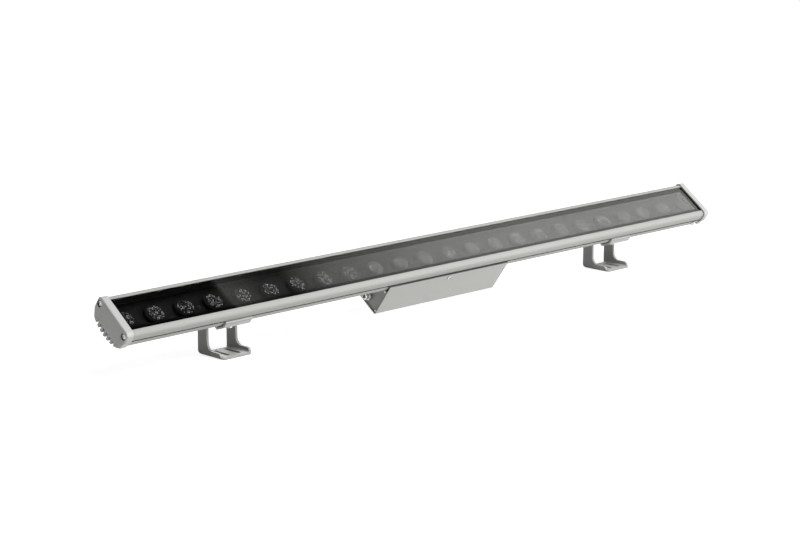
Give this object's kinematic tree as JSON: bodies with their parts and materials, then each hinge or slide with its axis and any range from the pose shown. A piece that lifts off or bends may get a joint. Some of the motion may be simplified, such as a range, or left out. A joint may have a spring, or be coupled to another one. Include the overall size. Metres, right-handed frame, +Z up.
{
  "type": "outdoor wall washer light",
  "caption": "Long linear wall washer: finned aluminium profile, flush glass over a row of lenses, end caps, a driver box below and two sliding, tilting U brackets.",
  "frame": {"origin": "middle of the footprint of the whole part, on the floor that the two bracket feet stand on", "axes": "+X along the lamp to the right end seen from the front, +Y to the back, +Z up; the glass faces up and to the front (-Y)"},
  "size_m": [1, 0.084, 0.0908],
  "materials": {
    "profile": "silver grey powder coat, satin",
    "cap": "silver grey powder coat on a die casting, satin",
    "sheet": "silver grey powder coat on sheet, satin",
    "clip": "silver grey powder coat, satin",
    "bracket": "silver grey powder coat on steel plate, satin",
    "glass": "clear tempered glass with a black printed border",
    "seal": "black silicone",
    "board": "black solder mask",
    "led": "yellow phosphor in silicone",
    "lens": "clear moulded acrylic",
    "holder": "black moulded plastic",
    "steel": "stainless",
    "gland": "nickel plated",
    "driver": "black potted case",
    "lead": "black silicone sheath"
  },
  "bodies": {
    "lamp": {"housing_profile": "profile", "glass_pane": "glass", "glass_seal": "seal", "led_boards": "board", "leds": "led", "lenses": "lens", "lens_holders": "holder", "board_screws": "steel", "cap_gasket_left": "seal", "cap_gasket_right": "seal", "end_cap_left": "cap", "end_cap_right": "cap", "cap_screws_left": "steel", "cap_screws_right": "steel", "driver_box": "sheet", "box_end_left": "sheet", "box_end_right": "sheet", "box_screws": "steel", "box_end_screws": "steel", "driver_unit": "driver", "driver_screws": "steel", "driver_lead": "lead", "lead_grommet": "seal", "gland_body": "gland", "gland_nut": "gland", "gland_seal": "seal", "gland_locknut": "gland", "earth_screw": "steel"},
    "clip_left": {"clip_left": "clip", "clamp_screw_left": "steel"},
    "clip_right": {"clip_right": "clip", "clamp_screw_right": "steel"},
    "bracket_left": {"bracket_left": "bracket", "pivot_bolts_left": "steel", "pivot_washers_left": "steel", "pivot_nuts_left": "steel"},
    "bracket_right": {"bracket_right": "bracket", "pivot_bolts_right": "steel", "pivot_washers_right": "steel", "pivot_nuts_right": "steel"}
  },
  "joints": [
    {"name": "clip_left_slide", "type": "slide", "parent": "lamp", "child": "clip_left", "axis": [1, 0, 0], "range_m": [-0.11, 0.18]},
    {"name": "clip_right_slide", "type": "slide", "parent": "lamp", "child": "clip_right", "axis": [1, 0, 0], "range_m": [-0.18, 0.11]},
    {"name": "bracket_left_tilt", "type": "hinge", "parent": "clip_left", "child": "bracket_left", "pos_m": [-0.337, 0.00425, 0.0429], "axis": [1, 0, 0], "range_deg": [-53.5, 126.5]},
    {"name": "bracket_right_tilt", "type": "hinge", "parent": "clip_right", "child": "bracket_right", "pos_m": [0.3235, 0.00425, 0.0429], "axis": [1, 0, 0], "range_deg": [-53.5, 126.5]}
  ]
}
